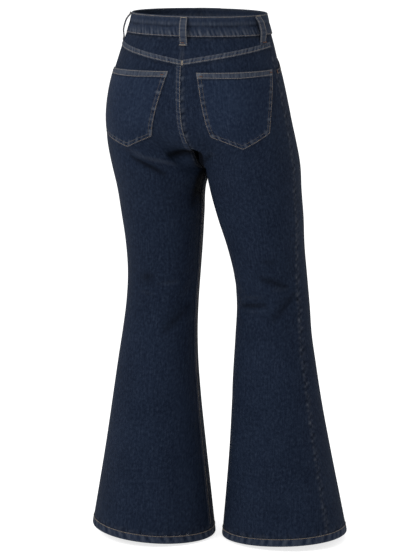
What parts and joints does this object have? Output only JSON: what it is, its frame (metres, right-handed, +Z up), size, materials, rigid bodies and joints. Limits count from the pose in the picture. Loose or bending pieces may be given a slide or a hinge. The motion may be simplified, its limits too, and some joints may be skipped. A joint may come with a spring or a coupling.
{
  "type": "bootcut jeans",
  "caption": "Hollow worn-form denim jeans, close to the knee with a wide bell below, with yoked back, patch pockets and belt loops.",
  "frame": {"origin": "centre of the waist opening, level with the waistband's top edge, where the wearer's waist holds the jeans", "axes": "+Z up, the front faces -Y, the wearer's left is +X"},
  "size_m": [0.5211, 0.3288, 1.0654],
  "materials": {
    "denim": "very dark rinsed indigo twill, matt",
    "denim_folded": "the same twill doubled, a little paler along its edges",
    "zip_tape": "dark woven tape",
    "button_metal": "aged copper, satin"
  },
  "bodies": {
    "root": {"waistband": "denim_folded", "yoke_left": "denim", "yoke_right": "denim", "back_left": "denim", "back_right": "denim", "front_left": "denim", "front_right": "denim", "facing_left": "denim", "facing_right": "denim", "fly_flap": "denim_folded", "fly_zip": "zip_tape", "pocket_left": "denim_folded", "pocket_right": "denim_folded", "loop_back": "denim_folded", "loop_side_left": "denim_folded", "loop_side_right": "denim_folded", "loop_front_left": "denim_folded", "loop_front_right": "denim_folded", "waist_button": "button_metal", "hem_left": "denim_folded", "hem_right": "denim_folded"}
  },
  "joints": []
}
